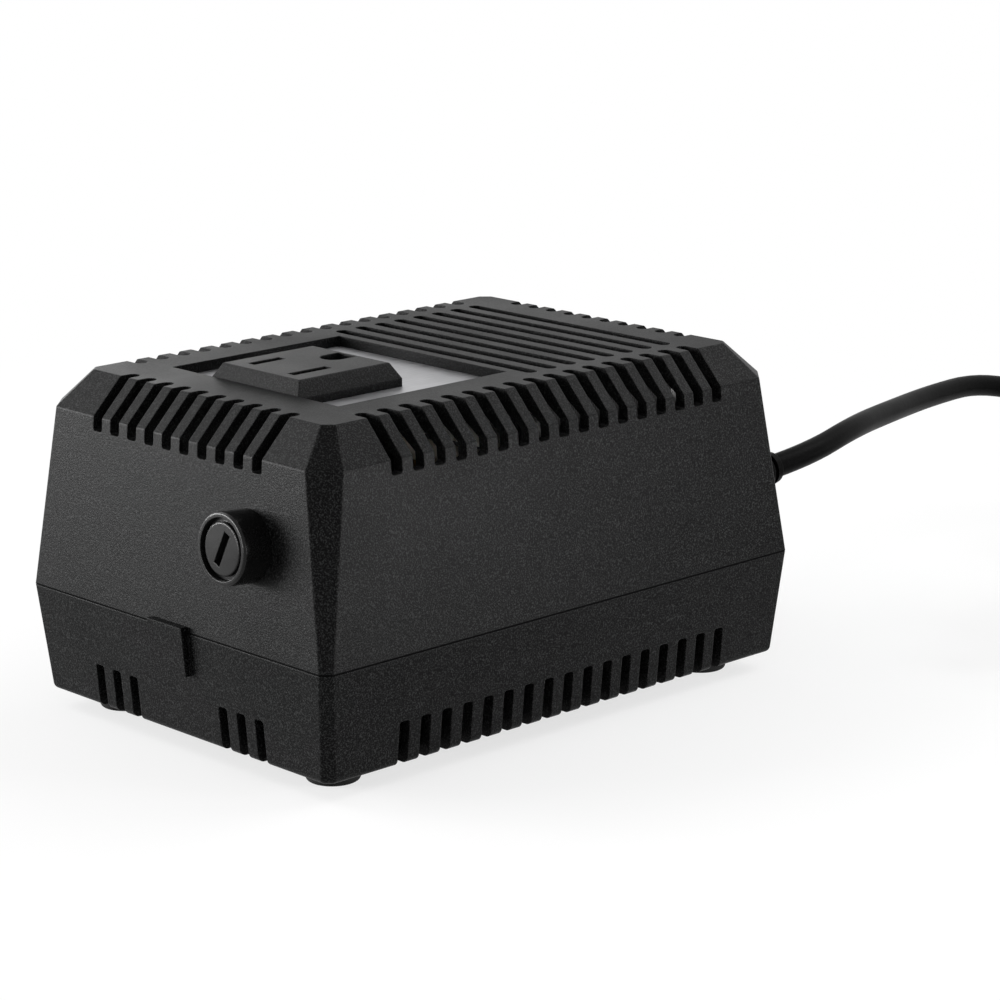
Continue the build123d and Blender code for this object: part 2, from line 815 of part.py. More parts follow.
fuse_end = fuse_inset + fuse_length
with BuildPart() as fuse_rear_terminal:
    with BuildSketch(fuse_plane.offset(-(barrel_length - barrel_end_wall))):
        Circle(rear_disc_radius)
    extrude(amount=barrel_length - barrel_end_wall - fuse_end - screw_gap)
    with BuildSketch(fuse_plane.offset(-barrel_length)):
        Circle(rear_stem_radius)
    extrude(amount=barrel_end_wall)
    with BuildSketch(fuse_plane.offset(-barrel_length)):
        Rectangle(lug_width, lug_thickness)
    extrude(amount=-rear_tab_length)

save(fuse_rear_terminal.part, "fuse_rear_terminal")

# Fuse link: a glass tube with a wire, and a metal cap on each end
with BuildPart() as fuse_end_caps:
    for start, end in ((-fuse_inset, -1), (-fuse_end, 1)):
        with BuildSketch(fuse_plane.offset(start)):
            Circle(fuse_radius)
        extrude(amount=end * fuse_end_length)
        with BuildSketch(fuse_plane.offset(start + end * fuse_end_wall)):
            Circle(fuse_radius - fuse_end_wall)
        extrude(amount=end * (fuse_end_length - fuse_end_wall), mode=Mode.SUBTRACT)

save(fuse_end_caps.part, "fuse_end_caps")

fuse_inner_length = fuse_length - 2 * fuse_end_wall
glass_radius = fuse_radius - fuse_end_wall
save(
    fuse_ring(
        fuse_end_wall - fuse_end, fuse_inner_length, glass_radius, glass_radius - fuse_glass_wall
    ),
    "fuse_glass_tube",
)

with BuildPart() as fuse_wire:
    with BuildSketch(fuse_plane.offset(fuse_end_wall - fuse_end)):
        Circle(fuse_wire_radius)
    extrude(amount=fuse_inner_length)

save(fuse_wire.part, "fuse_wire")

# Fuse cap: a screwdriver head with a carrier that grips the end of the fuse
with BuildPart() as fuse_cap:
    with BuildSketch(fuse_plane.offset(cap_back)):
        Circle(cap_radius)
    extrude(amount=cap_head_length - cap_ring_drop)
    with BuildSketch(fuse_plane.offset(cap_back)):
        Circle(cap_disc_radius)
    extrude(amount=cap_head_length)
    fillet(fuse_cap.faces().sort_by(fuse_axis)[-1].edges(), cap_round)
    with BuildSketch(fuse_plane.offset(cap_back + cap_head_length)):
        with Locations(Rotation(0, 0, -cap_slot_turn)):
            Rectangle(cap_slot_width, cap_slot_length)
    extrude(amount=-cap_slot_depth, mode=Mode.SUBTRACT)
    with BuildSketch(fuse_plane.offset(cap_back)):
        Circle(carrier_radius)
        Circle(carrier_bore_radius, mode=Mode.SUBTRACT)
    extrude(amount=-carrier_length)

save(fuse_cap.part, "fuse_cap")


def half_turns(points, turn_side):
    """Half circles from point to point, each bulging towards its own side."""
    arcs = []
    for start, end, side in zip(points, points[1:], turn_side):
        middle = (start + end) / 2 + side * ((end - start).length / 2)
        arcs.append((start, middle, end))
    return arcs


# Spring between the cap and the fuse
spring_start = spring_wire_radius - fuse_inset
spring_climb = (cap_back - spring_wire_radius - spring_start) / spring_half_turns
spring_points = [
    fuse_plane.from_local_coords(Vector((-1) ** k * spring_radius, 0, spring_start + k * spring_climb))
    for k in range(spring_half_turns + 1)
]
spring_sides = [fuse_plane.y_dir * (-1) ** k for k in range(spring_half_turns)]
with BuildPart() as fuse_spring:
    with BuildLine() as spring_line:
        for arc in half_turns(spring_points, spring_sides):
            ThreePointArc(*arc)
    with BuildSketch(Plane(origin=spring_points[0], z_dir=spring_line.line % 0)):
        Circle(spring_wire_radius)
    sweep(path=spring_line.line)

save(fuse_spring.part, "fuse_spring")

# Transformer core of stacked sheets, standing on the floor
low_bolts = [(-bolt_x, core_z + leg / 2), (bolt_x, core_z + leg / 2)]
high_bolts = [(-bolt_x, core_top_z - leg / 2), (bolt_x, core_top_z - leg / 2)]
bolt_hole_radius = bolt_radius + bolt_hole_gap


def across(y):
    """An upright plane across the case at y, facing the fuse end."""
    return Plane.XZ.offset(-y)


with BuildPart() as core_e_stack:
    with BuildSketch(across(core_back_y)):
        with Locations((0, core_z + (leg + window_height) / 2)):
            Rectangle(core_width, leg + window_height)
        with Locations((0, core_z + leg + window_height / 2)):
            with GridLocations(3 * leg, 0, 2, 1):
                Rectangle(leg, window_height, mode=Mode.SUBTRACT)
        with Locations(*low_bolts):
            Circle(bolt_hole_radius, mode=Mode.SUBTRACT)
    extrude(amount=stack)

save(core_e_stack.part, "core_e_stack")

with BuildPart() as core_i_stack:
    with BuildSketch(across(core_back_y)):
        with Locations((0, core_top_z - leg / 2)):
            Rectangle(core_width, leg)
        with Locations(*high_bolts):
            Circle(bolt_hole_radius, mode=Mode.SUBTRACT)
    extrude(amount=stack)

save(core_i_stack.part, "core_i_stack")

# Angle brackets at the foot and straps at the top, front and back
with BuildPart() as core_brackets:
    for y, out in ((core_front_y, 1), (core_back_y, -1)):
        with BuildSketch(across(y)):
            with Locations((0, core_z + leg / 2)):
                Rectangle(core_width, leg)
            with Locations(*low_bolts):
                Circle(bolt_hole_radius, mode=Mode.SUBTRACT)
        extrude(amount=out * bracket_thickness)
    with BuildSketch(Plane.XY.offset(core_z)):
        for y, out in ((core_front_y, -1), (core_back_y, 1)):
            with Locations((0, y + out * foot_leg_length / 2)):
                Rectangle(foot_leg_width, foot_leg_length)
        with Locations(*bracket_screws):
            Circle(bolt_hole_radius, mode=Mode.SUBTRACT)
    extrude(amount=bracket_thickness)

save(core_brackets.part, "core_brackets")

with BuildPart() as core_straps:
    for y, out in ((core_front_y, 1), (core_back_y, -1)):
        with BuildSketch(across(y)):
            with Locations((0, core_top_z - leg / 2)):
                Rectangle(core_width, leg - 2 * strap_edge)
            with Locations(*high_bolts):
                Circle(bolt_hole_radius, mode=Mode.SUBTRACT)
        extrude(amount=out * bracket_thickness)

save(core_straps.part, "core_straps")

# Bolts through the core, with their heads to the front and nuts behind
bolt_seat_y = core_front_y - bracket_thickness
nut_seat_y = core_back_y + bracket_thickness
with BuildPart() as core_bolts:
    with BuildSketch(across(bolt_seat_y)):
        with Locations(*low_bolts, *high_bolts):
            Circle(bolt_head_radius)
    extrude(amount=bolt_head_height)
    with BuildSketch(across(nut_seat_y + bolt_nut_thickness + bolt_tail)):
        with Locations(*low_bolts, *high_bolts):
            Circle(bolt_radius)
    extrude(amount=nut_seat_y + bolt_nut_thickness + bolt_tail - bolt_seat_y)

save(core_bolts.part, "core_bolts")

with BuildPart() as core_nuts:
    with BuildSketch(across(nut_seat_y + bolt_nut_thickness)):
        with Locations(*low_bolts, *high_bolts):
            RegularPolygon(bolt_nut_across / 2, side_count=6, major_radius=False)
            Circle(bolt_radius + screw_gap, mode=Mode.SUBTRACT)
    extrude(amount=bolt_nut_thickness)

save(core_nuts.part, "core_nuts")

# Countersunk screws that hold the brackets to the floor, and their nuts
bracket_nut_z = core_z + bracket_thickness
with BuildPart() as bracket_screws_group:
    with BuildSketch(Plane.XY.offset(base_z)):
        with Locations(*bracket_screws):
            Circle(bolt_radius)
    extrude(amount=bracket_nut_z + bolt_nut_thickness + bolt_tail - base_z)
    with Locations(*[(x, y, base_z) for x, y in bracket_screws]):
        Cone(
            bracket_screw_head_radius,
            bolt_radius,
            bracket_screw_head_height,
            align=(Align.CENTER, Align.CENTER, Align.MIN),
        )
    with BuildSketch(Plane.XY.offset(base_z)):
        with Locations(*bracket_screws):
            Rectangle(2 * drive_recess_radius, drive_recess_width)
            Rectangle(drive_recess_width, 2 * drive_recess_radius)
    extrude(amount=drive_recess_depth, mode=Mode.SUBTRACT)

save(bracket_screws_group.part, "bracket_screws")

with BuildPart() as bracket_nuts:
    with BuildSketch(Plane.XY.offset(bracket_nut_z)):
        with Locations(*bracket_screws):
            RegularPolygon(bolt_nut_across / 2, side_count=6, major_radius=False)
            Circle(bolt_radius + screw_gap, mode=Mode.SUBTRACT)
    extrude(amount=bolt_nut_thickness)

save(bracket_nuts.part, "bracket_nuts")

# Bobbin and windings round the middle leg
bobbin_half_x = leg + bobbin_gap + bobbin_wall
bobbin_half_y = stack / 2 + bobbin_gap + bobbin_wall
bobbin_z = core_z + leg + flange_inset
bobbin_height = window_height - 2 * flange_inset
flange_reach = leg - flange_inset
winding_z = bobbin_z + flange_thickness
winding_height = bobbin_height - 2 * flange_thickness


def winding_size(growth):
    """Width, length and corner radius at a distance out from the bobbin's tube."""
    return 2 * (bobbin_half_x + growth), 2 * (bobbin_half_y + growth), winding_round + growth


def winding(start, thickness):
    """A layer round the bobbin, between its flanges."""
    with BuildPart() as layer:
        with BuildSketch(Plane.XY.offset(winding_z + winding_gap)):
            with Locations((0, core_y)):
                RectangleRounded(*winding_size(start + thickness))
                RectangleRounded(*winding_size(start), mode=Mode.SUBTRACT)
        extrude(amount=winding_height - 2 * winding_gap)
    return layer.part


with BuildPart() as bobbin:
    with BuildSketch(Plane.XY.offset(bobbin_z)):
        with Locations((0, core_y)):
            RectangleRounded(*winding_size(0))
    extrude(amount=bobbin_height)
    with BuildSketch(Plane.XY.offset(bobbin_z), Plane.XY.offset(winding_z + winding_height)):
        with Locations((0, core_y)):
            Rectangle(2 * (leg + flange_reach), stack + 2 * flange_reach)
    extrude(amount=flange_thickness)
    with BuildSketch(Plane.XY.offset(bobbin_z)):
        with Locations((0, core_y)):
            Rectangle(2 * (leg + bobbin_gap), stack + 2 * bobbin_gap)
    extrude(amount=bobbin_height, mode=Mode.SUBTRACT)

save(bobbin.part, "bobbin")

tape_end = leg - bobbin_gap - bobbin_wall - winding_core_gap
tape_start = tape_end - tape_thickness
copper = tape_start - barrier_thickness - winding_gap
primary_thickness = copper * primary_share
barrier_start = winding_gap + primary_thickness
secondary_start = barrier_start + barrier_thickness
secondary_thickness = tape_start - secondary_start
save(winding(winding_gap, primary_thickness), "primary_winding")
save(winding(barrier_start, barrier_thickness), "winding_barrier")
save(winding(secondary_start, secondary_thickness), "secondary_winding")
save(winding(tape_start, tape_thickness), "winding_tape")

# Thermal cutout on the front of the windings
tape_front_y = core_y - bobbin_half_y - tape_end
cutout_z = winding_z + (winding_height - cutout_length) / 2
with BuildPart() as thermal_cutout:
    with BuildSketch(across(tape_front_y)):
        with Locations((0, cutout_z + cutout_length / 2)):
            RectangleRounded(cutout_width, cutout_length, cutout_round)
    extrude(amount=cutout_thickness)

save(thermal_cutout.part, "thermal_cutout")

# Strain relief in the back wall
with BuildPart() as strain_relief:
    with BuildSketch(cord_plane.offset(-relief_in_length)):
        Circle(relief_radius - fit_gap)
    extrude(amount=relief_in_length)
    with BuildSketch(cord_plane.offset(-wall_depth)):
        Circle(relief_flange_radius)
    extrude(amount=-relief_flange_thickness)
    with BuildSketch(cord_plane):
        Circle(relief_flange_radius)
    extrude(amount=relief_flange_thickness)
    with BuildSketch(cord_plane.offset(relief_flange_thickness)):
        Circle(relief_radius)
    with BuildSketch(cord_plane.offset(relief_out_length)):
        Circle(relief_end_radius)
    loft()
    # Ring grooves let the sleeve bend
    groove_pitch = (relief_out_length - relief_flange_thickness) / (relief_groove_count + 1)
    for k in range(relief_groove_count):
        groove_start = relief_flange_thickness + (k + 1) * groove_pitch - relief_groove_width / 2
        with BuildSketch(cord_plane.offset(groove_start)):
            Circle(relief_radius)
            Circle(relief_groove_radius, mode=Mode.SUBTRACT)
        extrude(amount=relief_groove_width, mode=Mode.SUBTRACT)

save(strain_relief.part, "strain_relief")

# Leads inside the case


def lead(name, points):
    path = tube_path(points, [lead_bend] * (len(points) - 2))
    save(tube(path, lead_radius), name)


def fuse_point(x, y, z):
    return fuse_plane.from_local_coords(Vector(x, y, z))


def cord_point(x, y, z):
    return cord_plane.from_local_coords(Vector(x, y, z))


tail_end_z = housing_bottom_z - tail_length
for name, x in (("outlet_line_lead", line_x), ("outlet_neutral_lead", neutral_x)):
    lead(
        name,
        [
            (x, blade_y, tail_end_z),
            (x, blade_y, tail_end_z - lead_drop),
            (x, tape_front_y, tail_end_z - lead_drop),
        ],
    )

lug_middle = lug_thickness / 2 - sleeve_end
cutout_lead_y = tape_front_y - cutout_thickness / 2
lead(
    "fused_lead",
    [
        fuse_point(0, -lug_reach, lug_middle),
        fuse_point(0, -lug_reach - lead_drop, lug_middle),
        (0, cutout_lead_y, cutout_z - lead_drop),
        (0, cutout_lead_y, cutout_z),
    ],
)

lane_x = core_width / 2 + lead_lane_gap
tab_end = -barrel_length - rear_tab_length
lead(
    "cord_line_lead",
    [
        cord_point(-core_lead_offset, 0, -relief_in_length),
        cord_point(-core_lead_offset, 0, -relief_in_length - relief_lead_run),
        (lane_x, post_y + post_radius / 2, cord_z),
        (lane_x, core_front_y - lead_bend, cord_z),
        fuse_point(0, 0, tab_end - lead_lane_gap - lead_drop),
        fuse_point(0, 0, tab_end),
    ],
)

neutral_end_x = bobbin_half_x - winding_round - lead_radius
neutral_corner = cord_point(core_lead_offset, 0, -relief_in_length - neutral_lead_run)
lead(
    "cord_neutral_lead",
    [
        cord_point(core_lead_offset, 0, -relief_in_length),
        neutral_corner,
        (neutral_end_x, neutral_corner.Y, neutral_corner.Z),
        (neutral_end_x, core_y + bobbin_half_y + tape_end, neutral_corner.Z),
    ],
)

# Cord from the strain relief to the coil. Its points are chosen by hand
cord_points = [
    cord_point(0, 0, relief_out_length),
    cord_point(0, 0, relief_out_length + cord_exit_run),
    (23, 107, 39.9),
    (10.5, 134, 36.9),
    (0.5, 161, 34.8),
    (-4.5, 185, 33.5),
    (-1.5, 205, 28),
    (12, 218, 18.5),
    (30, 221, 8.5),
    (47, 218, 2.5),
    (61, 218, 2.5),
]


def arc_radii(points):
    """The radius of each corner's arc: as large as its two runs allow."""
    corners = [Vector(*point) for point in points]
    runs = [after - before for before, after in zip(corners, corners[1:])]
    radii = []
    for before, after in zip(runs, runs[1:]):
        turn = radians(before.get_angle(after))
        radii.append(arc_share * min(before.length, after.length) / tan(turn / 2))
    return radii


cord_radii = arc_radii(cord_points)
print("cord radii", [round(radius, 1) for radius in cord_radii])
cord_path = tube_path(cord_points, cord_radii)
cord_run = tube(cord_path, cord_radius)
section = pi * cord_radius**2
print("cord run volume", round(cord_run.volume), "section times length", round(section * cord_path.length))
save(cord_run, "cord_run")

# Put-away coil: it spirals in on the table, climbs on the inside and spirals out on top.
# Its half circles run from front to back in turn, and each is half a step wider or narrower
coil_step = 2 * cord_radius + coil_turn_gap
coil_inner_radius = coil_radius - coil_half_turns_in * coil_step / 2
coil_top_z = cord_radius + coil_step
coil_places = [(coil_radius - k * coil_step / 2, cord_radius) for k in range(coil_half_turns_in + 1)]
coil_places.append((coil_inner_radius - coil_step / 2, coil_top_z))
for k in range(coil_half_turns_out):
    coil_places.append((coil_inner_radius + (k + 1) * coil_step / 2, coil_top_z))
coil_centre = Vector(coil_x, coil_y, 0)
coil_points = [
    coil_centre + Vector(0, (-1) ** k * radius, z) for k, (radius, z) in enumerate(coil_places)
]
coil_sides = [Vector((-1) ** k, 0, 0) for k in range(len(coil_points) - 1)]
coil_start = coil_points[0] - Vector(2 * cord_radius, 0, 0)
# The last quarter turn has the middle and radius of the half turn that it begins
last_radius = coil_places[-1][0] + coil_step / 4
last_middle = coil_points[-1] - Vector(0, last_radius, 0)
quarter_middle = last_middle + Vector(last_radius * sin(pi / 4), last_radius * cos(pi / 4), 0)
coil_last = last_middle + Vector(last_radius, 0, 0)
coil_end = coil_last - Vector(0, 2 * cord_radius, 0)

with BuildPart() as cord_coil:
    with BuildLine() as coil_line:
        Line(coil_start, coil_points[0])
        for arc in half_turns(coil_points, coil_sides):
            ThreePointArc(*arc)
        ThreePointArc(coil_points[-1], quarter_middle, coil_last)
        Line(coil_last, coil_end)
    with BuildSketch(Plane(origin=coil_start, z_dir=(1, 0, 0))):
        Circle(cord_radius)
    sweep(path=coil_line.line)

coil_path = coil_line.wire()
samples = int(coil_path.length / cord_radius)
spots = [tuple(coil_path @ (k / samples)) for k in range(samples + 1)]
apart = 6
least = min(dist(a, b) for k, a in enumerate(spots) for b in spots[k + apart :])
print("coil least gap", round(least - 2 * cord_radius, 2))
print("coil volume", round(cord_coil.part.volume), "section times length", round(section * coil_path.length))
save(cord_coil.part, "cord_coil")

# End of the cord, from the coil down to the plug that lies beside it
plug_z = plug_thickness / 2
plug_entry = Vector(coil_end.X, coil_end.Y - tail_run, plug_z)
tail_points = [
    coil_end,
    coil_end - Vector(0, tail_run / 3, 0),
    plug_entry + Vector(0, tail_run / 3, 0),
    plug_entry,
]
tail_path = tube_path(tail_points, arc_radii(tail_points))
save(tube(tail_path, cord_radius), "cord_tail")
print("cord length", round(cord_path.length + coil_path.length + tail_path.length))

# Flat plug lying on the table, pins away from the coil
plug_back = plug_entry.Y - plug_relief_length
plug_front = plug_back - plug_length
with BuildPart() as plug_body:
    with BuildSketch(Plane.XY):
        with BuildLine():
            Polyline(
                (plug_entry.X - plug_neck_width / 2, plug_back),
                (plug_entry.X + plug_neck_width / 2, plug_back),
                (plug_entry.X + plug_width / 2, plug_back - plug_shoulder_length),
                (plug_entry.X + plug_width / 2, plug_front),
                (plug_entry.X - plug_width / 2, plug_front),
                (plug_entry.X - plug_width / 2, plug_back - plug_shoulder_length),
                close=True,
            )
        make_face()
    extrude(amount=plug_thickness)
    fillet(plug_body.edges(), plug_edge_round)
    with BuildSketch(across(plug_back + plug_edge_round)):
        with Locations((plug_entry.X, plug_z)):
            Circle(plug_relief_radius)
    with BuildSketch(across(plug_entry.Y)):
        with Locations((plug_entry.X, plug_z)):
            Circle(plug_sleeve_radius)
    loft()
    with BuildSketch(across(plug_back)):
        with Locations((plug_entry.X, plug_z)):
            Circle(plug_relief_radius)
    extrude(amount=plug_edge_round, both=True)
    with BuildSketch(across(plug_front + pin_root)):
        with Locations((plug_entry.X, plug_z)):
            with GridLocations(pin_spacing, 0, 2, 1):
                Circle(pin_core_radius + screw_gap)
    extrude(amount=pin_root, mode=Mode.SUBTRACT)

save(plug_body.part, "plug_body")

with BuildPart() as plug_pins:
    with BuildSketch(across(plug_front - pin_sleeve_length)):
        with Locations((plug_entry.X, plug_z)):
            with GridLocations(pin_spacing, 0, 2, 1):
                Circle(pin_radius)
    extrude(amount=pin_length - pin_sleeve_length)
    fillet(plug_pins.faces().group_by(Axis.Y)[0].edges(), pin_tip_round)
    with BuildSketch(across(plug_front + pin_root)):
        with Locations((plug_entry.X, plug_z)):
            with GridLocations(pin_spacing, 0, 2, 1):
                Circle(pin_core_radius)
    extrude(amount=pin_root + pin_sleeve_length)

save(plug_pins.part, "plug_pins")

with BuildPart() as pin_sleeves:
    with BuildSketch(across(plug_front)):
        with Locations((plug_entry.X, plug_z)):
            with GridLocations(pin_spacing, 0, 2, 1):
                Circle(pin_sleeve_radius)
                Circle(pin_core_radius, mode=Mode.SUBTRACT)
    extrude(amount=pin_sleeve_length)

save(pin_sleeves.part, "pin_sleeves")
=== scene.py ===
import bpy
import bmesh
from math import cos, pi, radians, sin
from mathutils import Matrix, Vector


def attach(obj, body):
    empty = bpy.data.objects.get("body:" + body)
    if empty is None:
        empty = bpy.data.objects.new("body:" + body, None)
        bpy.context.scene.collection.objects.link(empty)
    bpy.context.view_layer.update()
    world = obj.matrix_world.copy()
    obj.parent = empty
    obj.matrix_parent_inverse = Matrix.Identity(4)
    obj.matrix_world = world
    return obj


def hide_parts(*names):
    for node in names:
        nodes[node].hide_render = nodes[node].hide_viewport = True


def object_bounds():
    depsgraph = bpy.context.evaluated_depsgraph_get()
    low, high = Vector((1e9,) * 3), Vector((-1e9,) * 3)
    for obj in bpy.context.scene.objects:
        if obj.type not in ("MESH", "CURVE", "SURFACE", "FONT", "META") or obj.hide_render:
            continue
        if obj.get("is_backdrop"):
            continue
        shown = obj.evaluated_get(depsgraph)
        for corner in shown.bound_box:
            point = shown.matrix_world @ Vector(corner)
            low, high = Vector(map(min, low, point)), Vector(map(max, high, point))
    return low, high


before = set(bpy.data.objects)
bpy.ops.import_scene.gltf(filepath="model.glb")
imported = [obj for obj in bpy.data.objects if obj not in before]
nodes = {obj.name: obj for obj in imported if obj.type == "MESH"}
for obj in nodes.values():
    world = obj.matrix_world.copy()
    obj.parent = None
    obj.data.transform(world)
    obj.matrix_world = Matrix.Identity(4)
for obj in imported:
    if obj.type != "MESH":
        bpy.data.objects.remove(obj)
scene = bpy.context.scene


def plainBox():
    bpy.context.view_layer.update()
    low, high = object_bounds()
    return [list(low), list(high)]


cadBox = plainBox()
print("frame loaded,", len(nodes), "nodes")

# Camera: stands off the corner between the fuse end and the right side. Metres and degrees
camera = {
    "place": (0.47081, -0.42359, 0.20029),
    "azimuth": 46.5,
    "elevation": 14.33,
    "roll": -0.36,
    "lens": 117.8,
}


def setCamera(setup):
    az, el, roll = (radians(setup[key]) for key in ("azimuth", "elevation", "roll"))
    back = Vector((sin(az) * cos(el), -cos(az) * cos(el), sin(el)))
    right = Vector((cos(az), sin(az), 0))
    up = back.cross(right)
    turnedRight = right * cos(roll) + up * sin(roll)
    turnedUp = up * cos(roll) - right * sin(roll)
    data = bpy.data.cameras.new("camera")
    data.lens = setup["lens"]
    cameraObject = bpy.data.objects.new("camera", data)
    cameraObject.matrix_world = (
        Matrix.Translation(setup["place"])
        @ Matrix((turnedRight, turnedUp, back)).transposed().to_4x4()
    )
    scene.collection.objects.link(cameraObject)
    scene.camera = cameraObject


setCamera(camera)

# Mains cord: out of the strain relief, over to a put-away coil on the table, then to the plug
mainsCord = {
    "diameter": 0.005,
    "length": 1.1,
    "exit": (0.030, 0.07276, 0.0380),
    "route": [
        (0.030, 0.07276, 0.0380),
        (0.030, 0.08473, 0.03886),
        (0.023, 0.107, 0.0399),
        (0.0105, 0.134, 0.0369),
        (0.0005, 0.161, 0.0348),
        (-0.0045, 0.185, 0.0335),
        (-0.0015, 0.205, 0.028),
        (0.012, 0.218, 0.0185),
        (0.030, 0.221, 0.0085),
        (0.047, 0.218, 0.0025),
        (0.061, 0.218, 0.0025),
    ],
    "coilMiddle": (0.066, 0.184),
    "coilRadius": 0.034,
    "coilStep": 0.0055,  # from one turn to the next, and from the lower layer to the upper
    "halfTurnsIn": 5,
    "halfTurnsOut": 4,
    "pointsPerHalfTurn": 12,
    "plugEnd": [
        (0.098625, 0.177625, 0.008),
        (0.098625, 0.17029, 0.008),
        (0.098625, 0.16296, 0.00685),
        (0.098625, 0.155625, 0.00685),
    ],
    "splineOrder": 3,
    "stepsPerPoint": 6,
    "roundness": 6,
}


def coilPoints(setup):
    half = setup["coilStep"] / 2
    lowZ = setup["diameter"] / 2
    highZ = lowZ + setup["coilStep"]
    inner = setup["coilRadius"] - setup["halfTurnsIn"] * half
    ends = [(setup["coilRadius"] - k * half, lowZ) for k in range(setup["halfTurnsIn"] + 1)]
    ends.append((inner - half, highZ))
    ends += [(inner + (k + 1) * half, highZ) for k in range(setup["halfTurnsOut"])]
    middle = Vector((*setup["coilMiddle"], 0))
    stops = [middle + Vector((0, (-1) ** k * radius, z)) for k, (radius, z) in enumerate(ends)]
    count = setup["pointsPerHalfTurn"]
    swell = 1 / cos(pi / (2 * count))  # the spline runs this much inside its points
    points = []
    for k, (start, stop) in enumerate(zip(stops, stops[1:])):
        centre = (start + stop) / 2
        reach = (start - centre) * swell
        side = Vector(((-1) ** k, 0, 0)) * reach.length
        for j in range(count):
            angle = (j + 0.5) * pi / count
            points.append(centre + reach * cos(angle) + side * sin(angle))
    # A last quarter turn leads towards the plug
    radius = ends[-1][0] + half / 2
    centre = stops[-1] - Vector((0, radius, 0))
    for j in range(count // 2):
        angle = (j + 0.5) * pi / count
        points.append(centre + Vector((sin(angle), cos(angle), 0)) * radius * swell)
    return points


def makeCord(setup):
    points = [Vector(p) for p in setup["route"]] + coilPoints(setup)
    points += [Vector(p) for p in setup["plugEnd"]]
    curve = bpy.data.curves.new("mains_cord", "CURVE")
    curve.dimensions = "3D"
    spline = curve.splines.new("NURBS")
    spline.points.add(len(points) - 1)
    for spot, point in zip(spline.points, points):
        spot.co = (*point, 1)
        spot.radius = setup["diameter"] / 2
    spline.order_u = setup["splineOrder"]
    spline.use_endpoint_u = True
    curve.resolution_u = setup["stepsPerPoint"]
    curve.bevel_depth = 1  # times each point's radius
    curve.bevel_resolution = setup["roundness"]
    curve.use_fill_caps = True
    cord = bpy.data.objects.new("mains_cord", curve)
    scene.collection.objects.link(cord)
    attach(cord, "case")
    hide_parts("cord_run", "cord_coil", "cord_tail")
    return cord


cord = makeCord(mainsCord)
print("cord laid")

# Finishes. Every one reads Object coordinates
noiseRange = (0.3, 0.7)  # where most of a noise texture's values lie


def startMaterial(name, look):
    material = bpy.data.materials.new(name)
    material.use_nodes = True
    tree = material.node_tree
    shader = tree.nodes["Principled BSDF"]
    shader.inputs["Roughness"].default_value = look["roughness"]
    shader.inputs["Metallic"].default_value = look.get("metal", 0)
    shader.inputs["Specular IOR Level"].default_value = look.get("shine", 0.5)
    coords = tree.nodes.new("ShaderNodeTexCoord")
    return material, tree, shader, coords.outputs["Object"]


def noise(tree, coords, size, detail, stretch=(1, 1, 1)):
    mapping = tree.nodes.new("ShaderNodeMapping")
    mapping.inputs["Scale"].default_value = stretch
    texture = tree.nodes.new("ShaderNodeTexNoise")
    texture.inputs["Scale"].default_value = 1 / size
    texture.inputs["Detail"].default_value = detail
    tree.links.new(coords, mapping.inputs["Vector"])
    tree.links.new(mapping.outputs["Vector"], texture.inputs["Vector"])
    return texture.outputs["Fac"]


def remap(tree, value, target, source=noiseRange):
    node = tree.nodes.new("ShaderNodeMapRange")
    node.inputs["From Min"].default_value, node.inputs["From Max"].default_value = source
    node.inputs["To Min"].default_value, node.inputs["To Max"].default_value = target
    tree.links.new(value, node.inputs["Value"])
    return node.outputs["Result"]


def combine(tree, operation, first, second):
    node = tree.nodes.new("ShaderNodeMath")
    node.operation = operation
    tree.links.new(first, node.inputs[0])
    tree.links.new(second, node.inputs[1])
    return node.outputs["Value"]


# Mask for the painted seam shade: 0 in a band around the shell seam, 1 elsewhere
def offSeamShade(tree, coords, seamShade):
    split = tree.nodes.new("ShaderNodeSeparateXYZ")
    tree.links.new(coords, split.inputs["Vector"])
    height, far = seamShade["height"], seamShade["half"]
    near = far / 2
    above = remap(tree, split.outputs["Z"], (0, 1), (height + near, height + far))
    below = remap(tree, split.outputs["Z"], (1, 0), (height - far, height - near))
    onCover = remap(tree, split.outputs["Y"], (1, 0), (seamShade["coverFace"], seamShade["wallFace"]))
    return combine(tree, "MAXIMUM", combine(tree, "MAXIMUM", above, below), onCover)


def around(look, shared):
    return look["roughness"] - shared["smoother"], look["roughness"] + shared["rougher"]


def tint(tree, shader, value, dark, light):
    mix = tree.nodes.new("ShaderNodeMix")
    mix.data_type = "RGBA"
    mix.inputs["A"].default_value = (*dark, 1)
    mix.inputs["B"].default_value = (*light, 1)
    tree.links.new(value, mix.inputs["Factor"])
    tree.links.new(mix.outputs["Result"], shader.inputs["Base Color"])


def bump(tree, height, depth, normal=None):
    node = tree.nodes.new("ShaderNodeBump")
    node.inputs["Distance"].default_value = depth
    tree.links.new(height, node.inputs["Height"])
    if normal is not None:
        tree.links.new(normal, node.inputs["Normal"])
    return node.outputs["Normal"]


def softEdges(tree, radius, samples):
    node = tree.nodes.new("ShaderNodeBevel")
    node.samples = samples
    node.inputs["Radius"].default_value = radius
    return node.outputs["Normal"]
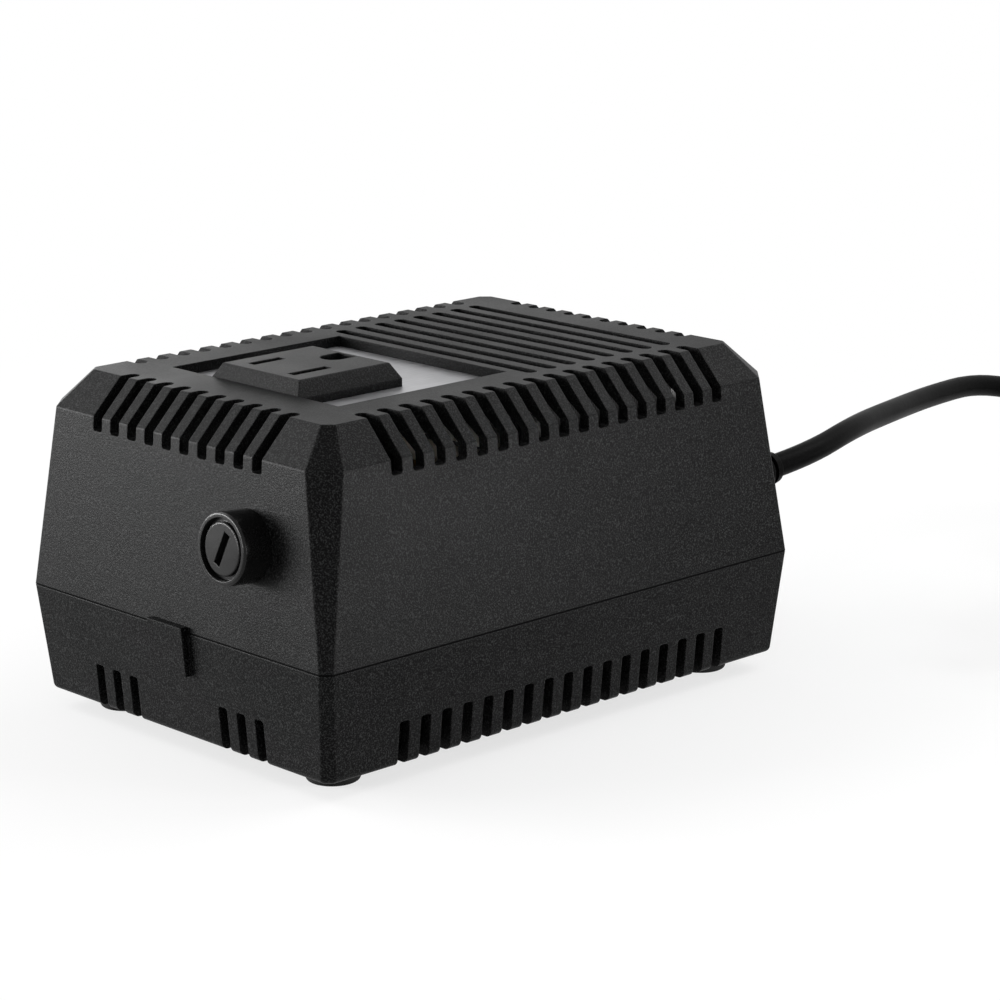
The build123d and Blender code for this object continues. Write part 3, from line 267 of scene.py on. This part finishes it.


# Moulded plastics and rubbers: a grained skin, fine flecks of colour, a slow change of
# roughness, edges that catch light, and on the case a painted shade line along the shell seam
plasticShared = {"cloud": 0.02, "smoother": 0.05, "rougher": 0.05, "edgeSamples": 4}
casePlasticLook = {
    "roughness": 0.4, "shine": 0.05,
    "dark": (0.0014, 0.0014, 0.0015), "light": (0.021, 0.0215, 0.0215),
    "fleckFrom": (0.47, 0.72),
    "grain": 0.0003, "grainDepth": 0.000028, "fleck": 0.0003, "edge": 0.00033,
    # Painted shade: a darker, rougher band where the shells meet, but not on the latch cover,
    # which stands proud of the wall
    "seamShade": {"height": 0.02525, "half": 0.00028, "wallFace": -0.06245, "coverFace": -0.0626},
}
footRubberLook = {
    "roughness": 0.7, "shine": 0.1,
    "dark": (0.006, 0.006, 0.006), "light": (0.011, 0.011, 0.011),
    "grain": 0.0006, "grainDepth": 0.00003, "fleck": 0.0003, "edge": 0.0003,
}
outletPlasticLook = {
    "roughness": 0.4, "shine": 0.07,
    "dark": (0.0025, 0.0025, 0.0026), "light": (0.02, 0.0205, 0.0205),
    "fleckFrom": (0.45, 0.75),
    "grain": 0.0003, "grainDepth": 0.000025, "fleck": 0.0003, "edge": 0.0004,
}
holderPlasticLook = {
    "roughness": 0.25, "shine": 0.16,
    "dark": (0.003, 0.003, 0.003), "light": (0.007, 0.007, 0.007),
    "grain": 0.0008, "grainDepth": 0.000008, "fleck": 0.0004, "edge": 0.00025,
}
cordSheathLook = {
    "roughness": 0.38, "shine": 0.015,
    "dark": (0.001, 0.001, 0.001), "light": (0.0025, 0.0025, 0.0025),
    "grain": 0.0012, "grainDepth": 0.00002, "fleck": 0.0004, "edge": 0.0003,
}
bobbinPlasticLook = {
    "roughness": 0.45, "shine": 0.4,
    "dark": (0.62, 0.58, 0.47), "light": (0.72, 0.68, 0.57),
    "grain": 0.0006, "grainDepth": 0.00002, "fleck": 0.0004, "edge": 0.0003,
}
cutoutPlasticLook = {
    "roughness": 0.4, "shine": 0.45,
    "dark": (0.68, 0.68, 0.65), "light": (0.76, 0.76, 0.73),
    "grain": 0.0006, "grainDepth": 0.00001, "fleck": 0.0004, "edge": 0.0003,
}
lineLeadLook = {
    "roughness": 0.35, "shine": 0.45,
    "dark": (0.16, 0.06, 0.03), "light": (0.23, 0.095, 0.05),
    "grain": 0.001, "grainDepth": 0.00001, "fleck": 0.0005, "edge": 0.0003,
}
neutralLeadLook = {
    "roughness": 0.35, "shine": 0.45,
    "dark": (0.03, 0.10, 0.34), "light": (0.05, 0.14, 0.44),
    "grain": 0.001, "grainDepth": 0.00001, "fleck": 0.0005, "edge": 0.0003,
}


def mouldedPlastic(name, look):
    material, tree, shader, coords = startMaterial(name, look)
    grain = noise(tree, coords, look["grain"], 2)
    fleck = noise(tree, coords, look["fleck"], 1)
    cloud = noise(tree, coords, plasticShared["cloud"], 3)
    specks = remap(tree, fleck, (0, 1), look.get("fleckFrom", noiseRange))
    roughness = remap(tree, cloud, around(look, plasticShared))
    # Painted shade: in the seam band the flecks fall to the dark colour, and the roughness goes
    # up
    if "seamShade" in look:
        clear = offSeamShade(tree, coords, look["seamShade"])
        specks = combine(tree, "MULTIPLY", specks, clear)
        inSeamShade = remap(tree, clear, (1, 0), (0, 1))
        roughness = combine(tree, "MAXIMUM", roughness, inSeamShade)
    tint(tree, shader, specks, look["dark"], look["light"])
    tree.links.new(roughness, shader.inputs["Roughness"])
    skin = softEdges(tree, look["edge"], plasticShared["edgeSamples"])
    skin = bump(tree, grain, look["grainDepth"], skin)
    skin = bump(tree, fleck, look["grainDepth"] / 2, skin)
    tree.links.new(skin, shader.inputs["Normal"])
    return material


# Metals: a faint tarnish, and rolling or brushing lines along one axis, but none on the spring
metalShared = {"tarnish": 0.008, "smoother": 0.06, "rougher": 0.08}
plateMetalLook = {
    "roughness": 0.42, "metal": 1, "stretch": (1, 0.08, 1), "line": 0.0004, "lineDepth": 0.000004,
    "dark": (0.33, 0.33, 0.34), "light": (0.40, 0.40, 0.41),
}
screwSteelLook = {
    "roughness": 0.3, "metal": 1, "stretch": (1, 1, 0.2), "line": 0.0005, "lineDepth": 0.00001,
    "dark": (0.5, 0.5, 0.49), "light": (0.64, 0.64, 0.63),
}
contactBrassLook = {
    "roughness": 0.28, "metal": 1, "stretch": (1, 1, 0.15), "line": 0.0003, "lineDepth": 0.000006,
    "dark": (0.6, 0.42, 0.16), "light": (0.75, 0.55, 0.24),
}
terminalMetalLook = {
    "roughness": 0.25, "metal": 1, "stretch": (0.2, 1, 1), "line": 0.0004, "lineDepth": 0.000006,
    "dark": (0.66, 0.63, 0.52), "light": (0.78, 0.76, 0.68),
}
fuseMetalLook = {
    "roughness": 0.16, "metal": 1, "stretch": (1, 0.2, 1), "line": 0.0004, "lineDepth": 0.000003,
    "dark": (0.68, 0.68, 0.64), "light": (0.78, 0.78, 0.75),
}
springSteelLook = {
    "roughness": 0.2, "metal": 1, "stretch": (1, 1, 1), "line": 0.0003, "lineDepth": 0.000003,
    "dark": (0.5, 0.5, 0.5), "light": (0.62, 0.62, 0.62),
}
pinMetalLook = {
    "roughness": 0.18, "metal": 1, "stretch": (1, 0.15, 1), "line": 0.0004, "lineDepth": 0.000005,
    "dark": (0.68, 0.67, 0.62), "light": (0.78, 0.77, 0.73),
}


def workedMetal(name, look):
    material, tree, shader, coords = startMaterial(name, look)
    lines = noise(tree, coords, look["line"], 3, look["stretch"])
    tarnish = noise(tree, coords, metalShared["tarnish"], 4)
    tint(tree, shader, remap(tree, tarnish, (0, 1)), look["dark"], look["light"])
    tree.links.new(remap(tree, lines, around(look, metalShared)), shader.inputs["Roughness"])
    tree.links.new(bump(tree, lines, look["lineDepth"]), shader.inputs["Normal"])
    return material


# Stacked or wound stuff: the core's black varnished sheets, turns of wire, laps of tape
layerShared = {
    "wobble": 0.4, "wobbleScale": 8, "patch": 0.003, "leastShade": 0.6,
    "smoother": 0.05, "rougher": 0.1,
}
coreSteelLook = {
    "roughness": 0.5, "metal": 0.1, "axis": "Y", "pitch": 0.0005, "depth": 0.00012,
    "dark": (0.004, 0.004, 0.004), "light": (0.014, 0.0135, 0.013),
}
windingCopperLook = {
    "roughness": 0.28, "metal": 0.7, "axis": "Z", "pitch": 0.0006, "depth": 0.0002,
    "dark": (0.36, 0.12, 0.05), "light": (0.66, 0.28, 0.14),
}
barrierFilmLook = {
    "roughness": 0.25, "metal": 0, "axis": "Z", "pitch": 0.009, "depth": 0.00003,
    "dark": (0.66, 0.60, 0.36), "light": (0.76, 0.70, 0.46),
}
windingTapeLook = {
    "roughness": 0.22, "metal": 0, "axis": "Z", "pitch": 0.01, "depth": 0.00004,
    "dark": (0.20, 0.12, 0.02), "light": (0.28, 0.18, 0.03),
}


def layeredStuff(name, look):
    material, tree, shader, coords = startMaterial(name, look)
    bands = tree.nodes.new("ShaderNodeTexWave")
    bands.bands_direction = look["axis"]
    bands.inputs["Scale"].default_value = 2 * pi / (20 * look["pitch"])  # 20 radians a unit
    bands.inputs["Distortion"].default_value = layerShared["wobble"]
    bands.inputs["Detail Scale"].default_value = layerShared["wobbleScale"]
    tree.links.new(coords, bands.inputs["Vector"])
    uneven = noise(tree, coords, layerShared["patch"], 3)
    patches = remap(tree, uneven, (layerShared["leastShade"], 1))
    shade = combine(tree, "MULTIPLY", bands.outputs["Fac"], patches)
    tint(tree, shader, shade, look["dark"], look["light"])
    tree.links.new(remap(tree, uneven, around(look, layerShared)), shader.inputs["Roughness"])
    tree.links.new(bump(tree, bands.outputs["Fac"], look["depth"]), shader.inputs["Normal"])
    return material


fuseGlassLook = {
    "roughness": 0.03, "shine": 0.5, "refraction": 1.5, "tone": (0.95, 0.98, 0.97),
    "wave": 0.002, "waveDepth": 0.00001, "stretch": (1, 0.2, 1),
}


def drawnGlass(name, look):
    material, tree, shader, coords = startMaterial(name, look)
    shader.inputs["Transmission Weight"].default_value = 1
    shader.inputs["IOR"].default_value = look["refraction"]
    wave = noise(tree, coords, look["wave"], 1, look["stretch"])
    tint(tree, shader, remap(tree, wave, (0, 1)), look["tone"], (1, 1, 1))
    tree.links.new(bump(tree, wave, look["waveDepth"]), shader.inputs["Normal"])
    return material


cordSheath = mouldedPlastic("cord_sheath", cordSheathLook)
finishes = [
    (mouldedPlastic("case_plastic", casePlasticLook), ["upper_shell", "lower_shell"]),
    (mouldedPlastic("foot_rubber", footRubberLook), ["rubber_feet", "fuse_holder_washer"]),
    (workedMetal("plate_metal", plateMetalLook), ["label_plate"]),
    (mouldedPlastic("outlet_plastic", outletPlasticLook), ["outlet_body", "outlet_rear_cover"]),
    (
        workedMetal("contact_brass", contactBrassLook),
        ["line_contact", "neutral_contact", "ground_contact"],
    ),
    (
        workedMetal("screw_steel", screwSteelLook),
        [
            "case_screws", "outlet_screws", "core_brackets", "core_straps", "core_bolts",
            "core_nuts", "bracket_screws", "bracket_nuts",
        ],
    ),
    (
        mouldedPlastic("holder_plastic", holderPlasticLook),
        ["fuse_holder_body", "fuse_holder_nut", "fuse_cap"],
    ),
    (
        workedMetal("terminal_metal", terminalMetalLook),
        ["fuse_side_terminal", "fuse_rear_terminal"],
    ),
    (drawnGlass("fuse_glass", fuseGlassLook), ["fuse_glass_tube"]),
    (workedMetal("fuse_metal", fuseMetalLook), ["fuse_end_caps", "fuse_wire"]),
    (workedMetal("spring_steel", springSteelLook), ["fuse_spring"]),
    (layeredStuff("core_steel", coreSteelLook), ["core_e_stack", "core_i_stack"]),
    (mouldedPlastic("bobbin_plastic", bobbinPlasticLook), ["bobbin"]),
    (
        layeredStuff("winding_copper", windingCopperLook),
        ["primary_winding", "secondary_winding"],
    ),
    (layeredStuff("barrier_film", barrierFilmLook), ["winding_barrier"]),
    (layeredStuff("winding_tape", windingTapeLook), ["winding_tape"]),
    (mouldedPlastic("cutout_plastic", cutoutPlasticLook), ["thermal_cutout"]),
    (
        mouldedPlastic("line_lead", lineLeadLook),
        ["outlet_line_lead", "fused_lead", "cord_line_lead"],
    ),
    (
        mouldedPlastic("neutral_lead", neutralLeadLook),
        ["outlet_neutral_lead", "cord_neutral_lead"],
    ),
    (cordSheath, ["strain_relief", "plug_body", "pin_sleeves"]),
    (workedMetal("pin_metal", pinMetalLook), ["plug_pins"]),
]
for material, members in finishes:
    for name in members:
        slots = nodes[name].data.materials
        slots.clear()
        slots.append(material)
cord.data.materials.append(cordSheath)
print("finishes given")

# Table: lit as a matt top, and fading to plain white when seen straight or in a reflection
table = {"half": 6.0, "shade": (0.92, 0.92, 0.92), "fade": (-0.6, 0.35)}


def seenDirectly(tree):
    path = tree.nodes.new("ShaderNodeLightPath")
    seen = path.outputs["Is Camera Ray"]
    for ray in ("Is Glossy Ray", "Is Transmission Ray"):
        seen = combine(tree, "MAXIMUM", seen, path.outputs[ray])
    return seen


def makeTable(setup):
    mesh = bpy.data.meshes.new("table_top")
    shape = bmesh.new()
    bmesh.ops.create_grid(shape, x_segments=1, y_segments=1, size=setup["half"])
    shape.to_mesh(mesh)
    shape.free()
    top = bpy.data.objects.new("table_top", mesh)
    scene.collection.objects.link(top)
    material = bpy.data.materials.new("table_white")
    material.use_nodes = True
    tree = material.node_tree
    tree.nodes.remove(tree.nodes["Principled BSDF"])
    matt = tree.nodes.new("ShaderNodeBsdfDiffuse")
    matt.inputs["Color"].default_value = (*setup["shade"], 1)
    white = tree.nodes.new("ShaderNodeEmission")
    coords = tree.nodes.new("ShaderNodeTexCoord")
    length = tree.nodes.new("ShaderNodeVectorMath")
    length.operation = "LENGTH"
    tree.links.new(coords.outputs["Object"], length.inputs[0])
    fade = remap(tree, length.outputs["Value"], (0, 1), setup["fade"])
    mix = tree.nodes.new("ShaderNodeMixShader")
    tree.links.new(combine(tree, "MULTIPLY", fade, seenDirectly(tree)), mix.inputs["Fac"])
    tree.links.new(matt.outputs["BSDF"], mix.inputs[1])
    tree.links.new(white.outputs["Emission"], mix.inputs[2])
    tree.links.new(mix.outputs["Shader"], tree.nodes["Material Output"].inputs["Surface"])
    mesh.materials.append(material)
    top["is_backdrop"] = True


# White all round, weaker as a light than it looks
surround = {"asLight": 0.4, "asSeen": 1}


def setSurround(setup):
    world = bpy.data.worlds.new("surround")
    world.use_nodes = True
    tree = world.node_tree
    sky = tree.nodes["Background"]
    sky.inputs["Color"].default_value = (1, 1, 1, 1)
    strength = remap(tree, seenDirectly(tree), (setup["asLight"], setup["asSeen"]), (0, 1))
    tree.links.new(strength, sky.inputs["Strength"])
    scene.world = world


# Lamps: each faces the middle of the case. Sizes in metres, power in watts
lampTarget = (0, 0, 0.035)
lamps = {
    "front_lamp": {"place": (-0.9, -0.88, 0.2), "size": (0.9, 0.38), "power": 26},
    "low_lamp": {"place": (-0.85, -0.78, 0.06), "size": (0.9, 0.1), "power": 4},
    "left_lamp": {"place": (-1.0, -0.4, 1.05), "size": (0.7, 0.7), "power": 7},
    "back_lamp": {"place": (0.32, 0.85, 0.95), "size": (0.8, 0.8), "power": 6},
    "right_lamp": {"place": (0.34, 0.14, 0.06), "size": (0.12, 0.1), "power": 1.1},
    "rim_lamp": {"place": (-1.2, 0.5, 0.3), "size": (0.6, 0.4), "power": 1.6},
}


def softLamp(name, setup):
    data = bpy.data.lights.new(name, "AREA")
    data.shape = "RECTANGLE"
    data.size, data.size_y = setup["size"]
    data.energy = setup["power"]
    lamp = bpy.data.objects.new(name, data)
    lamp.location = setup["place"]
    away = Vector(setup["place"]) - Vector(lampTarget)
    lamp.rotation_euler = away.to_track_quat("Z", "Y").to_euler()
    lamp.visible_camera = False
    scene.collection.objects.link(lamp)


makeTable(table)
setSurround(surround)
for name, setup in lamps.items():
    softLamp(name, setup)

scene.view_settings.view_transform = "Standard"
print("table and light set")

{"cad": cadBox, "visual": plainBox()}
